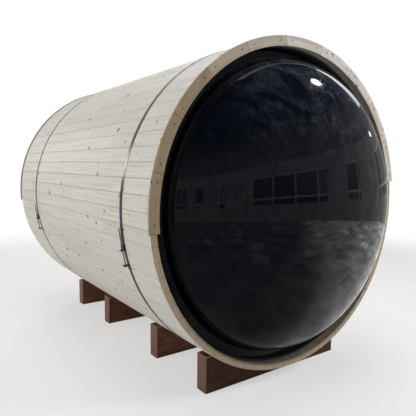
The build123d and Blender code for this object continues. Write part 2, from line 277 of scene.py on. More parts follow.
def joined(shapes):
    """Several surfaces as one list of points and faces."""
    points, faces, start = [], [], 0
    for shape_points, shape_faces in shapes:
        points.append(shape_points)
        faces += [[corner + start for corner in face] for face in shape_faces]
        start += len(shape_points)
    return np.vstack(points), faces


def finish_piece(made, finish, sharp):
    """Gives a piece its finish and slot, and smooth faces with arrises that are sharp past an
    angle in degrees."""
    mesh = made.data
    mesh.materials.clear()
    mesh.materials.append(finish)
    mesh.polygons.foreach_set("use_smooth", np.ones(len(mesh.polygons), dtype=bool))
    mesh.set_sharp_from_angle(angle=radians(sharp))
    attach(made, "root")


def piece(name, shape, finish):
    """Makes one finished object from a surface, with smooth faces and sharp arrises."""
    points, faces = shape
    mesh = bpy.data.meshes.new(name)
    mesh.from_pydata(points.tolist(), [], faces)
    made = bpy.data.objects.new(name, mesh)
    bpy.context.scene.collection.objects.link(made)
    finish_piece(made, finish, 35)
    return made


def turned(profile, count):
    """A profile of (radius, depth) points carried round the barrel's axis: each point becomes the
    ring (radius cos a, depth, axis height + radius sin a)."""
    angle = np.linspace(0, 2 * np.pi, count, endpoint=False)
    radius, depth = profile[:, :1], profile[:, 1:]
    return np.stack(
        [radius * np.cos(angle), depth + 0 * angle, AXIS_HEIGHT + radius * np.sin(angle)], axis=-1
    )


def round_grid(reach, height, angle):
    """Rings about Z, whose points are (reach cos a, reach sin a, height)."""
    return np.stack([reach * np.cos(angle), reach * np.sin(angle), height + 0 * angle], axis=-1)


def bar(profile, count, outline=None, hollow=False):
    """A profile of (radius, height) points carried round Z: from one pole to the other, or round a
    hole. An outline gives the largest radius at each angle, so a hexagon cuts flats."""
    angle = np.linspace(0, 2 * np.pi, count, endpoint=False)
    radius, height = profile[:, :1], profile[:, 1:]
    reach = np.minimum(radius, np.inf if outline is None else outline(angle)) + 0 * angle
    grid = round_grid(reach, height, angle)
    return outward(*(loop_rings if hollow else pole_rings)(grid))


def hexagon(flats):
    """The radius of a hexagon at each angle: half its flats over the cosine of the angle from the
    middle of the nearest flat."""
    return lambda angle: flats / 2 / np.cos(angle % (np.pi / 3) - np.pi / 6)


def threaded_rod(steel, low, high):
    """A rod along Z whose radius falls from crest to root and back once per pitch, and whose
    crests climb one pitch in a turn. Both ends taper to the root in one depth."""
    angle = np.linspace(0, 2 * np.pi, 20, endpoint=False)
    height = np.arange(low, high, steel.thread_pitch / 4)
    height = np.append(height, high)[:, None]
    phase = height / steel.thread_pitch - angle / (2 * np.pi)
    root = steel.rod_radius - steel.thread_depth
    reach = steel.rod_radius - steel.thread_depth * np.abs(2 * (phase % 1) - 1)
    reach = np.minimum(reach, root + np.minimum(height - low, high - height))
    grid = round_grid(reach, height, angle)
    poles = np.zeros((2, 1, 1)) + grid[[0, -1]] * (0, 0, 1)
    return outward(*pole_rings(np.concatenate([poles[:1], grid, poles[1:]])))


# Finishes


SIGNS = {"+": "Math.ADD", "-": "Math.SUBTRACT", "*": "Math.MULTIPLY", "/": "Math.DIVIDE",
         "*+": "Math.MULTIPLY_ADD"}


def add_node(tree, kind, *values, sockets=None, **settings):
    """Adds one node. A kind such as Math.POWER names its operation too, a sign stands for a Math
    node, and a Mix is one of colours. Values go to its sockets in order and the others by name;
    each is a number, a colour, another node, which stands for its first output, or one of a node's
    outputs."""
    kind, _, operation = SIGNS.get(kind, kind).partition(".")
    node = tree.nodes.new("ShaderNode" + kind)
    if operation:
        node.operation = operation
    if kind == "Mix":
        node.data_type = "RGBA"
    for name, value in settings.items():
        setattr(node, name, value)
    pairs = list(zip([socket for socket in node.inputs if socket.enabled], values))
    pairs += [(node.inputs[name], value) for name, value in (sockets or {}).items()]
    for socket, value in pairs:
        if isinstance(value, bpy.types.Node):
            value = next(output for output in value.outputs if output.enabled)
        if isinstance(value, bpy.types.NodeSocket):
            tree.links.new(value, socket)
        elif value is not None:
            socket.default_value = value
    return node


def finish_named(name):
    """An empty material, and the function that adds nodes to it."""
    material = bpy.data.materials.new(name)
    material.use_nodes = True
    material.node_tree.nodes.clear()
    return material, partial(add_node, material.node_tree)


def rgba(colour):
    """A colour with full cover, as a node socket takes it."""
    return (*colour, 1.0)


def spruce(add, place, look, tint=None):
    """Solid spruce in a board's own metres. Growth rings are the distance from a pith line that
    lies beside each board, bent by slow noise along the grain; knots stand in some cells of a
    board's face, with the rings flowing round them. Returns the colour and the relief."""
    across, along, depth, number = place
    seed = add("TexWhiteNoise", number, noise_dimensions="3D")
    first, second, third = add("SeparateColor", seed.outputs["Color"]).outputs
    far = add("*", seed.outputs["Value"], 37.0)
    # the pith lies up to 120 mm to either side and 20 to 120 mm under the face, and wanders by
    # 25 and 45 mm along the board
    pith_across = add("*", add("+", first, -0.5), 0.24)
    pith_depth = add("*+", second, 0.10, 0.02)
    slow = add("TexNoise", add("CombineXYZ", add("*", along, 0.9), far), 1.0, 2.0,
               noise_dimensions="2D")
    slow_red, slow_green, _ = add("SeparateColor", slow.outputs["Color"]).outputs
    wander_across = add("*+", slow_red, 0.05, -0.025)
    wander_depth = add("*+", slow_green, 0.09, -0.045)
    side = add("+", add("-", across, pith_across), wander_across)
    under = add("+", add("+", depth, pith_depth), wander_depth)
    reach = add("VectorMath.LENGTH", add("CombineXYZ", side, under))

    cell = look.knot_spacing
    knot_across = add("*", add("+", across, far), 1 / cell)
    knot_along = add("*", along, 0.8 / cell)
    knots = add("TexVoronoi", add("CombineXYZ", knot_across, knot_along), sockets={"Scale": 1.0},
                voronoi_dimensions="2D")
    pick, size, _ = add("SeparateColor", knots.outputs["Color"]).outputs
    chosen = add("Math.LESS_THAN", pick, look.knot_share)
    # radii run from 0.45 to 1.65 of the middling one, and most knots are small
    knot_reach = add("*+", add("Math.POWER", size, 2.0), 1.2 * look.knot_radius / cell,
                     0.45 * look.knot_radius / cell)
    share = add("/", knots.outputs["Distance"], knot_reach)
    heart = add("MapRange", share, 0.85, 0.5)
    # the knot, the resinous halo round it, and how far it pushes the rings aside, in metres
    knot, halo, flow = (
        add("*", chosen, add("MapRange", share, outer, inner, 0.0, most))
        for outer, inner, most in ((1.15, 0.8, 1.0), (2.6, 1.0, 0.5), (5.0, 1.0, 0.009))
    )

    # noise drawn out along the grain, each kind with its waves per metre across and along it.
    # Fibres are drawn about 6 mm wide, coarser than life, so that they survive the picture's scale
    ripple, fibre, cloud = (
        add("TexNoise", add("CombineXYZ", add("*", across, wide),
                            add("*+", along, long, far),
                            add("*", depth, wide)),
            1.0, detail)
        for wide, long, detail in ((28.0, 3.0, 2.0), (170.0, 2.4, 3.0), (22.0, 1.3, 2.0))
    )
    bent = add("+", add("*+", ripple, 0.008, flow), reach)
    year = add("Math.FRACT", add("*", bent, 1 / look.ring_width))
    # colour deepens slowly over the year and drops back at once, as latewood does
    late = add("Math.POWER", year, 2.2)

    if tint is None:
        tint = add("*", add("Math.POWER", third, 1.6), look.spread)
    wood = rgba(look.pale)
    for cover, colour in (
        (tint, look.tan),
        (add("MapRange", cloud, 0.35, 0.75, 0.0, 0.5), look.tan),
        (add("MapRange", fibre, 0.46, 0.75, 0.0, look.streak_show), look.latewood),
        (add("*", late, look.ring_show), look.latewood),
        (halo, look.latewood),
    ):
        wood = add("Mix", cover, wood, rgba(colour))
    bark = add("Mix", heart, rgba(look.knot_rim), rgba(look.knot_colour))
    wood = add("Mix", add("*", knot, look.knot_show), wood, bark)
    return wood, add("+", late, fibre)


def look_of(timber, pale, tan, **own):
    """What one kind of board takes from the timber, with what is its own in place of the usual."""
    look = {"pale": pale, "tan": tan, "ring_show": 0.3, "knot_show": 0.9, "knot_share": 0.25,
            "streak_show": 0.4, "spread": 1.0}
    for name in ("latewood", "knot_colour", "knot_rim", "knot_spacing", "knot_radius",
                 "ring_width"):
        look[name] = getattr(timber, name)
    return SimpleNamespace(**{**look, **own})


def object_place(add):
    """The point's X, Y and Z in the row frame."""
    return add("SeparateXYZ", add("TexCoord").outputs["Object"]).outputs


def round_place(add, start, sweep):
    """Places on boards that stand round the barrel's axis. Returns the share of the turn inside
    one board, its number, the radius and the point along Y."""
    x, y, z = object_place(add)
    up = add("+", z, -AXIS_HEIGHT)
    left = add("*", x, -1.0)
    angle = add("Math.ARCTAN2", up, left)
    turn = add("*", add("+", angle, -start), 1 / sweep)
    number = add("Math.FLOORED_MODULO", add("Math.FLOOR", turn), round(2 * np.pi / sweep))
    share = add("+", add("Math.FRACT", turn), -0.5)
    radius = add("VectorMath.LENGTH", add("CombineXYZ", left, up))
    return share, number, radius, y


def end_share(add, axis):
    """One on faces that look along an axis, and nothing on the others."""
    sides = add("SeparateXYZ", add("TexCoord").outputs["Normal"]).outputs
    facing = add("Math.ABSOLUTE", sides[axis])
    return add("MapRange", facing, 0.8, 0.95)


def coat(add, colour, roughness, height, strength, rise, rest):
    """The shader of every solid finish: its colour, its roughness and a relief that rises by a
    length in metres, with the rest of its sockets by name."""
    relief = add("Bump", sockets={"Strength": strength, "Distance": rise, "Height": height})
    sockets = {"Base Color": colour, "Roughness": roughness, "Normal": relief}
    add("OutputMaterial", add("BsdfPrincipled", sockets={**sockets, **rest}))


def bare_wood(add, colour, relief, roughness, rise=0.00025):
    """Unfinished planed wood: a dull surface whose rings and fibres stand up a little."""
    coat(add, colour, roughness, relief, 0.35, rise, {"IOR": 1.45, "Specular IOR Level": 0.35})


def stave_finish(timber):
    """Planed unfinished spruce staves: pale cream with faint lengthwise rings, small dark knots,
    finger joints, and dirt with painted shade in every joint."""
    material, add = finish_named("planed_spruce_stave")
    sweep = 2 * np.pi / timber.stave_count
    share, number, radius, y = round_place(add, timber.stave_start, sweep)
    width = add("*", radius, sweep)
    across = add("*", share, width)
    depth = add("+", radius, -FASCIA_RADIUS)
    shift = add("*", number, 0.6180)
    lengths = add("+", add("*", y, 1 / timber.piece_length), shift)
    piece_number = add("Math.FLOOR", lengths)
    seed = add("CombineXYZ", number, piece_number, 3.0)
    look = look_of(timber, timber.stave_colour, timber.stave_tan, ring_show=0.17,
                   knot_share=0.28, streak_show=0.5, spread=0.6)
    wood, relief = spruce(add, (across, y, depth, seed), look)

    # finger joint: a dark line across the stave, drawn 2 mm wide
    joint = add("+", add("Math.FRACT", lengths), -0.5)
    joint = add("Math.ABSOLUTE", joint)
    line = 0.5 - 0.001 / timber.piece_length
    joint = add("MapRange", joint, line - 0.0012, line, 0.0, 0.2)
    wood = add("Mix", joint, wood, rgba(timber.grime_and_shade))

    edge = add("Math.ABSOLUTE", share)
    inset = add("*", add("-", 0.5, edge), width)
    ends = add("*", end_share(add, 1), 0.8)
    wood = add("Mix", ends, wood, rgba(timber.end_colour))
    # dirt and painted shade sit in the outer 4 mm beside each joint, and show most on the sawn ends
    most = add("MapRange", ends, 0.0, 0.8, 0.2, 0.6)
    dirt_and_shade = add("*", add("MapRange", inset, 0.004, 0.0008), most)
    wood = add("Mix", dirt_and_shade, wood, rgba(timber.grime_and_shade))
    # the inner faces, 36 mm and more from the outer one, are drawn darker low in the front rim
    inner = add("MapRange", depth, -0.036, -0.039, 0.0, 0.75)
    low = add("MapRange", object_place(add)[2], 0.75, 0.25)
    front = add("MapRange", y, -1.10, -1.12)
    darker_rim = add("*", add("*", inner, low), front)
    wood = add("Mix", darker_rim, wood, rgba(timber.rim_darkening))
    bare_wood(add, wood, relief, 0.62)
    return material


def ring_finish(name, timber, start, sweep, middle, pale, tan, shaded_left=False):
    """Planks sawn to a curve out of straight boards, so the grain runs straight through each and
    out at its edges: planed spruce, a little browner than the staves. The fascias' first planks,
    on the left, can be drawn browner, as painted shade."""
    material, add = finish_named(name)
    share, number, radius, y = round_place(add, start, sweep)
    angle = add("*", share, sweep)
    along = add("*", radius, add("Math.SINE", angle))
    across = add("*", radius, add("Math.COSINE", angle))
    across = add("+", across, -middle)
    seed = add("CombineXYZ", number, add("Math.SIGN", y), 11.0)
    look = look_of(timber, pale, tan, ring_show=0.35, knot_share=0.35, streak_show=0.6)
    # painted shade: the first planks, on the left, are drawn browner, where less light falls
    tint = add("MapRange", number, 2.0, 5.0, 1.0, 0.0) if shaded_left else None
    wood, relief = spruce(add, (across, along, y, seed), look, tint)
    # dirt and painted shade darken the 3 mm beside each plank's edge
    edge = add("*", add("-", 0.5, add("Math.ABSOLUTE", share)), sweep * middle)
    dirt_and_shade = add("MapRange", edge, 0.003, 0.0006, 0.0, 0.7)
    wood = add("Mix", dirt_and_shade, wood, rgba(timber.knot_rim))
    bare_wood(add, wood, relief, 0.6)
    return material


def board_finish(name, timber, start, span, folded=False, halved=False):
    """Upright planed spruce boards side by side over a span of X. A folded row counts its boards
    from the middle of the wall to both sides, and a halved one has other boards above the
    barrel's axis than below it."""
    material, add = finish_named(name)
    width = span / round(span / timber.board_width)
    x, y, z = object_place(add)
    side = 0.0
    if folded:
        side = add("Math.SIGN", x)
        x = add("Math.ABSOLUTE", x)
    elif halved:
        side = add("Math.SIGN", add("+", z, -AXIS_HEIGHT))
    turn = add("*", add("+", x, -start), 1 / width)
    share = add("+", add("Math.FRACT", turn), -0.5)
    across = add("*", share, width)
    seed = add("CombineXYZ", add("Math.FLOOR", turn), side, start)
    wood, relief = spruce(add, (across, z, y, seed),
                          look_of(timber, timber.board_colour, timber.board_tan))
    # dirt and painted shade sit in the 4.5 mm beside each joint
    dirt_and_shade = add("MapRange", add("Math.ABSOLUTE", share), 0.5 - 0.0045 / width, 0.5 - 0.001 / width,
               0.0, 0.5)
    wood = add("Mix", dirt_and_shade, wood, rgba(timber.grime_and_shade))
    ends = add("*", end_share(add, 2), 0.7)
    wood = add("Mix", ends, wood, rgba(timber.end_colour))
    bare_wood(add, wood, relief, 0.6)
    return material


def beam_finish(name, timber, axis):
    """Sawn spruce timber with its grain along one axis, for the door's frame and ledges."""
    material, add = finish_named(name)
    place = object_place(add)
    across = place[2 - axis]
    # timbers that stand 0.5 m apart are cut from different boards
    seed = add("CombineXYZ", add("Math.FLOOR", add("*", across, 2.0)), float(axis), 5.0)
    wood, relief = spruce(add, (across, place[axis], place[1], seed),
                          look_of(timber, timber.board_colour, timber.board_tan))
    ends = add("*", end_share(add, axis), 0.7)
    wood = add("Mix", ends, wood, rgba(timber.end_colour))
    bare_wood(add, wood, relief, 0.66)
    return material


def stained_finish(timber, name, low, high):
    """A rough softwood plank under brown stain, which the soft grain drinks unevenly: red-brown
    streaks along the plank, paler and drier sawn ends, and a painted highlight along the arrises."""
    material, add = finish_named(f"brown_stain_on_{name}")
    x, y, z = object_place(add)
    seed = add("CombineXYZ", add("Math.FLOOR", add("*", y, 2.0)), 1.0, 7.0)
    dark = timber.stain_dark
    look = look_of(timber, timber.stain_colour, dark, ring_show=0.5, knot_show=0.6,
                   streak_show=0.9, latewood=dark, knot_colour=dark, knot_rim=dark,
                   ring_width=1.6 * timber.ring_width)
    wood, relief = spruce(add, (z, x, y, seed), look)
    ends = add("*", end_share(add, 0), 0.75)
    wood = add("Mix", ends, wood, rgba(timber.stain_end))
    # an arris is where the second nearest of the plank's faces is nearer than 3 mm
    insets = []
    for axis, value in enumerate((x, y, z)):
        middle, half = (low[axis] + high[axis]) / 2, (high[axis] - low[axis]) / 2
        off = add("Math.ABSOLUTE", add("+", value, -middle))
        insets.append(add("-", half, off))
    least = add("Math.MINIMUM", *insets[:2])
    most = add("Math.MAXIMUM", *insets[:2])
    second = add("Math.MAXIMUM", add("Math.MINIMUM", most, insets[2]), least)
    # painted highlight: the arrises are drawn pale, as where light catches an edge
    arris_light = add("*", add("MapRange", second, 0.0045, 0.0015, 0.0, 0.9), relief)
    wood = add("Mix", arris_light, wood, rgba(timber.arris_highlight))
    # the lowest 30 mm are drawn darker
    foot = add("MapRange", z, 0.03, 0.0, 0.0, 0.35)
    wood = add("Mix", foot, wood, rgba(dark))
    bare_wood(add, wood, relief, 0.7, rise=0.0006)
    return material


def pull_finish(timber):
    """Turned hardwood under oil: long even grain and a soft sheen."""
    material, add = finish_named("oiled_hardwood")
    # pores are 4 mm apart and 170 mm long, coarser than life
    place = add("VectorMath.MULTIPLY", add("TexCoord").outputs["Object"], (260.0, 260.0, 6.0))
    grain = add("TexNoise", place, 1.0, 4.0)
    streak = add("MapRange", grain, 0.35, 0.7)
    wood = add("Mix", streak, rgba(timber.pull_colour), rgba(timber.pull_dark))
    coat(add, wood, 0.38, grain, 0.3, 0.0002, {"IOR": 1.47})
    return material


def acrylic_finish(dome):
    """Blown black acrylic: a near-black body under a mirror-smooth skin that bends reflections a
    little, with dry dust and wipe marks where the dome faces up."""
    material, add = finish_named("black_acrylic")
    place = add("TexCoord").outputs["Object"]
    # the blown sheet waves a little over 200 mm, dust lies in patches 280 mm wide, and its specks
    # are 33 mm and finer, coarser than life
    wave = add("TexNoise", place, 5.0, 1.0)
    patch = add("TexNoise", place, 3.6, 4.0, sockets={"Distortion": 2.5})
    speck = add("TexNoise", place, 30.0, 6.0, 0.8)
    up = add("SeparateXYZ", add("TexCoord").outputs["Normal"]).outputs["Z"]
    facing_up = add("MapRange", up, 0.05, 0.6)
    # the left side was wiped last
    across = add("SeparateXYZ", place).outputs["X"]
    wiped = add("MapRange", across, -0.7, -0.1, 0.15, 1.0)
    cover = add("*", add("MapRange", speck, 0.5, 0.7, 0.22, 1.0),
                add("MapRange", patch, 0.38, 0.66, 0.1, 1.0))
    cover = add("*", cover, add("*", facing_up, wiped))
    cover = add("*", cover, dome.dust)
    colour = add("Mix", cover, rgba(dome.colour), rgba(dome.dust_colour))
    roughness = add("MapRange", cover, 0.0, 0.3, 0.035, 0.22)
    coat(add, colour, roughness, wave, 0.5, 0.0012, {"IOR": dome.index})
    return material


def seal_finish(dome):
    """Black sealing bead: dark, matt and slightly uneven, as it comes off the gun."""
    material, add = finish_named("black_seal")
    # lumps about 11 mm long
    lumps = add("TexNoise", add("TexCoord").outputs["Object"], 90.0, 2.0)
    coat(add, rgba(dome.seal_colour), 0.5, lumps, 0.4, 0.0008, {"IOR": 1.45})
    return material


def metal_finish(name, colour, roughness, grain):
    """Bare metal. Its roughness and tone vary with rolling marks or with the crystals of a plated
    finish, whose grain is given in marks per metre along each axis, and with stains 110 mm wide."""
    material, add = finish_named(name)
    place = add("TexCoord").outputs["Object"]
    marks = add("TexNoise", add("VectorMath.MULTIPLY", place, grain), 1.0, 3.0)
    stain = add("TexNoise", place, 9.0, 3.0)
    dull = add("MapRange", marks, 0.3, 0.7, roughness * 0.8, roughness * 1.25)
    dark = add("MapRange", stain, 0.35, 0.7, 0.0, 0.25)
    dim = tuple(0.45 * part for part in colour)
    body = add("Mix", dark, rgba(colour), rgba(dim))
    coat(add, body, dull, marks, 0.25, 0.00005, {"Metallic": 1.0})
    return material


def painted_finish(steel):
    """Black paint on the hinges: satin, with the fine orange peel of a sprayed coat."""
    material, add = finish_named("black_painted_steel")
    # the peel is 1.4 mm wide
    peel = add("TexNoise", add("TexCoord").outputs["Object"], 700.0, 1.0)
    coat(add, rgba(steel.hinge_colour), 0.42, peel, 0.3, 0.0001, {"IOR": 1.5})
    return material


def dress(finish, *names):
    """Gives a finish to the CAD nodes with these names, in every slot they have."""
    for name in names:
        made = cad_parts[name]
        if not made.material_slots:
            raise RuntimeError(f"{name} has no material slot")
        for held in made.material_slots:
            held.material = finish


# Operators


class SAUNA_OT_timber(bpy.types.Operator):
    """Gives the staves, fascias, walls, door and cradles their wood."""

    bl_idname = "sauna.timber"
    bl_label = "Finish the timber"

    def execute(self, context):
        timber = context.scene.sauna_timber
        dress(stave_finish(timber), *(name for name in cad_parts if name.startswith("stave_")))
        middle = FASCIA_RADIUS - timber.fascia_width / 2
        # the fascia's first planks, on the left, take painted shade
        fascia = ring_finish(
            "planed_spruce_fascia", timber, timber.fascia_start, timber.fascia_sweep, middle,
            timber.fascia_colour, timber.fascia_tan, shaded_left=True,
        )
        dress(fascia, "front_fascia", "rear_fascia")
        seat = ring_finish(
            "sawn_spruce_ring", timber, 0.0, np.pi / 4, DOME_HIGH[0],
            timber.board_colour, timber.board_tan,
        )
        dress(seat, "dome_seat_ring")
        side = board_finish(
            "planed_spruce_wall_side", timber, min(abs(WALL_LOW[0]), abs(WALL_HIGH[0])),
            WALL_HIGH[0] - WALL_LOW[0], folded=True,
        )
        dress(side, "rear_wall_left", "rear_wall_right")
        middle = board_finish("planed_spruce_wall_middle", timber, MIDDLE_LOW[0],
                              MIDDLE_HIGH[0] - MIDDLE_LOW[0], halved=True)
        dress(middle, "rear_wall_over_door", "rear_wall_under_door")
        door = board_finish("planed_spruce_door", timber, DOOR_LOW[0], DOOR_HIGH[0] - DOOR_LOW[0])
        dress(door, "door_boards")
        dress(beam_finish("sawn_spruce_upright", timber, 2), "door_jamb_left", "door_jamb_right")
        dress(beam_finish("sawn_spruce_level", timber, 0), "door_head", "door_sill", "door_ledges")
        for name in sorted(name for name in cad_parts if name.startswith("cradle_")):
            dress(stained_finish(timber, name, *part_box(name)), name)
        return {"FINISHED"}


class SAUNA_OT_steel(bpy.types.Operator):
    """Gives the straps and hinges their steel."""

    bl_idname = "sauna.steel"
    bl_label = "Finish the straps and hinges"

    def execute(self, context):
        steel = context.scene.sauna_steel
        # rolling marks are about 0.8 mm wide and run along the strap
        # painted shade: the strap steel is drawn dark, so that it mirrors its surroundings dimly
        strap = metal_finish("rolled_stainless", steel.strap_darkened_colour, 0.3, (6.0, 1200.0, 6.0))
        dress(strap, *(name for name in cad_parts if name.endswith("_strap")))
        dress(painted_finish(steel), "door_hinges")
        return {"FINISHED"}


class SAUNA_OT_dome(bpy.types.Operator):
    """Blows the dome window and runs the sealing bead round its flange."""

    bl_idname = "sauna.dome"
    bl_label = "Make the dome window"

    def execute(self, context):
        dome = context.scene.sauna_dome
        rim = DOME_HIGH[0]
        radius = rim - dome.flange_width
        back = DOME_HIGH[1]
        face = back - dome.wall
        rise = face - DOME_LOW[1]

        def ellipse(turn, radius, rise):
            return np.stack([radius * np.sin(turn), face - rise * np.cos(turn)], axis=-1)

        # quarter ellipse from the apex out, then a fillet that leaves it at a tangent
        turn = np.linspace(0.0, np.pi / 2, 2000)
        bubble = ellipse(turn, radius, rise)
        normal = np.stack([np.sin(turn) / radius, -np.cos(turn) / rise], axis=-1)
        normal /= np.linalg.norm(normal, axis=-1, keepdims=True)
        offset = bubble + dome.fillet * normal
        meet = np.interp(face - dome.fillet, offset[:, 1], turn)
        centre = np.array([np.interp(meet, turn, offset[:, 0]), face - dome.fillet])
        touch = np.array([np.interp(meet, turn, bubble[:, 0]), np.interp(meet, turn, bubble[:, 1])])
        start = np.arctan2(*(touch - centre)[::-1])
        sweep = np.linspace(start, np.pi / 2, 12)
        fillet = centre + dome.fillet * np.stack([np.cos(sweep), np.sin(sweep)], axis=-1)
        outer = ellipse(np.linspace(0.0, meet, 72), radius, rise)
        edge = 0.0006  # the bevel of the flange's rim
        flange = np.array([
            (rim - edge, face), (rim, face + edge), (rim, back - edge), (rim - edge, back),
            (radius - dome.wall, back),
        ])
        inner = ellipse(np.linspace(np.pi / 2, 0.0, 72), radius - dome.wall, rise - dome.wall)
        profile = np.vstack([outer[:-1], fillet, flange, inner])
        shape = outward(*pole_rings(turned(profile, 288)))
        window = piece("dome_bubble", shape, acrylic_finish(dome))
        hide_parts("dome_window")

        # the bead is 12 mm wide, and bulges a little less than a round one
        outer_radius = SEAL_HIGH[0]
        width, depth = 0.012, SEAL_HIGH[1] - SEAL_LOW[1]
        bulge = np.linspace(0.0, np.pi / 2, 9)
        bead = np.vstack([
            np.stack([outer_radius - width * np.cos(bulge) ** 1.4,
                      SEAL_HIGH[1] - depth * np.sin(bulge) ** 1.4], axis=-1),
            [(outer_radius, SEAL_HIGH[1])],
        ])
        shape = outward(*loop_rings(turned(bead, 288)))
        seal = piece("dome_sealing_bead", shape, seal_finish(dome))
        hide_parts("dome_seal")
        return {"FINISHED"}


def screw_head(radius, crown=0.0):
    """A screw's head with a six-lobed recess and its cone below the seat at height 0. The recess's
    radius is a circle plus a wave of six crests, and a crown rises above the seat. Its sizes are
    shares of the head's radius."""
    angle = np.linspace(0, 2 * np.pi, 24, endpoint=False)
    lobed = radius * (0.42 + 0.07 * np.cos(6 * angle))
    rings = [
        (0.0, crown - 0.35 * radius), (lobed, crown - 0.35 * radius), (lobed, crown),
        (0.8 * radius, 0.75 * crown), (radius, 0.0), (radius, -0.06 * radius),
        (0.5 * radius, -0.55 * radius), (0.0, -0.55 * radius),
    ]
    grid = np.stack([round_grid(reach, height, angle) for reach, height in rings])
    return outward(*pole_rings(grid))


def facing(direction, x, y, z):
    """A place whose Z axis looks along +Y or -Y."""
    turn = Matrix.Rotation(radians(90) if direction < 0 else radians(-90), 4, "X")
    return Matrix.Translation((x, y, z)) @ turn


def drilled(name, node, places, steel):
    """Copies a timber node, welds its loose triangles and cuts a countersink at each place: a cone
    that widens from the shank's radius to just over the head's."""
    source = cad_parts[node]
    finish = source.material_slots[0].material
    mesh = source.data.copy()
    welded = bmesh.new()
    welded.from_mesh(mesh)
    bmesh.ops.remove_doubles(welded, verts=welded.verts, dist=1e-6)
    welded.to_mesh(mesh)
    welded.free()
    made = bpy.data.objects.new(name, mesh)
    wide, over, deep = 1.12 * steel.screw_head, 0.002, -0.0036
    cone = np.array([(0, over), (wide, over), (wide, 0.0), (0.5 * wide, deep), (0, deep)])
    points, faces = copies(bar(cone, 24), places)
    hole_mesh = bpy.data.meshes.new("countersinks")
    hole_mesh.from_pydata(points.tolist(), [], faces)
    holes = bpy.data.objects.new("countersinks", hole_mesh)
    for shown in (made, holes):
        bpy.context.scene.collection.objects.link(shown)
    cut = made.modifiers.new("Countersinks", "BOOLEAN")
    cut.operation, cut.solver, cut.object = "DIFFERENCE", "EXACT", holes
    whole = made.evaluated_get(bpy.context.evaluated_depsgraph_get())
    made.data = bpy.data.meshes.new_from_object(whole)
    made.modifiers.clear()
    bpy.data.objects.remove(holes)
    made.data.name = name
    finish_piece(made, finish, 30)
    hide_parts(node)


class SAUNA_OT_screws(bpy.types.Operator):
    """Drives the screws of the fascias, the door's ledges and the hinges."""

    bl_idname = "sauna.screws"
    bl_label = "Drive the screws"

    def execute(self, context):
        steel = context.scene.sauna_steel
        timber = context.scene.sauna_timber
        finish = metal_finish("dull_zinc_screw", steel.screw_colour, 0.45, CRYSTALS)
        sunk = Matrix.Translation((0, 0, -0.0006))  # just under the timber's face
        head = screw_head(steel.screw_head)

        start = timber.fascia_start + timber.fascia_sweep * np.arange(10)
        inset = steel.screw_inset
        angles = np.concatenate([start + inset, start + timber.fascia_sweep - inset])
        sides = {"front": (-1, FASCIA_LOW[1]), "rear": (1, REAR_FACE)}
        for end, (way, face) in sides.items():
            places = [
                facing(way, -steel.screw_circle * cos(angle), face,
                       AXIS_HEIGHT + steel.screw_circle * sin(angle))
                for angle in angles
            ]
            drilled(f"{end}_fascia_planks", f"{end}_fascia", places, steel)
            heads = copies(head, [place @ sunk for place in places])
            piece(f"{end}_fascia_screws", heads, finish)

        # two screws, 40 mm apart, hold each door board to each of the three ledges
        span = DOOR_HIGH[0] - DOOR_LOW[0]
        count = round(span / timber.board_width)
        middles = DOOR_LOW[0] + span * (np.arange(count) + 0.5) / count
        half_ledge = 0.045
        levels = (LEDGE_LOW[2] + half_ledge, (LEDGE_LOW[2] + LEDGE_HIGH[2]) / 2,
                  LEDGE_HIGH[2] - half_ledge)
        places = [
            facing(1, across, DOOR_HIGH[1], level + offset)
            for across in middles for level in levels for offset in (-0.02, 0.02)
        ]
        drilled("door_planks", "door_boards", places, steel)
        heads = copies(head, [place @ sunk for place in places])
        piece("door_ledge_screws", heads, finish)

        # three round-headed screws, 30 mm apart, in each leaf
        pin = (HINGE_LOW[0] + HINGE_HIGH[0]) / 2
        leaf_face = HINGE_LOW[1] + steel.hinge_leaf
        places = [
            facing(1, pin + side, leaf_face, level + offset)
            for side in (-0.021, 0.021) for level in (HINGE_LOW[2] + 0.045, HINGE_HIGH[2] - 0.045)
            for offset in (-0.03, 0.0, 0.03)
        ]
        piece("hinge_screws", copies(screw_head(0.0042, 0.0022), places), finish)
        return {"FINISHED"}


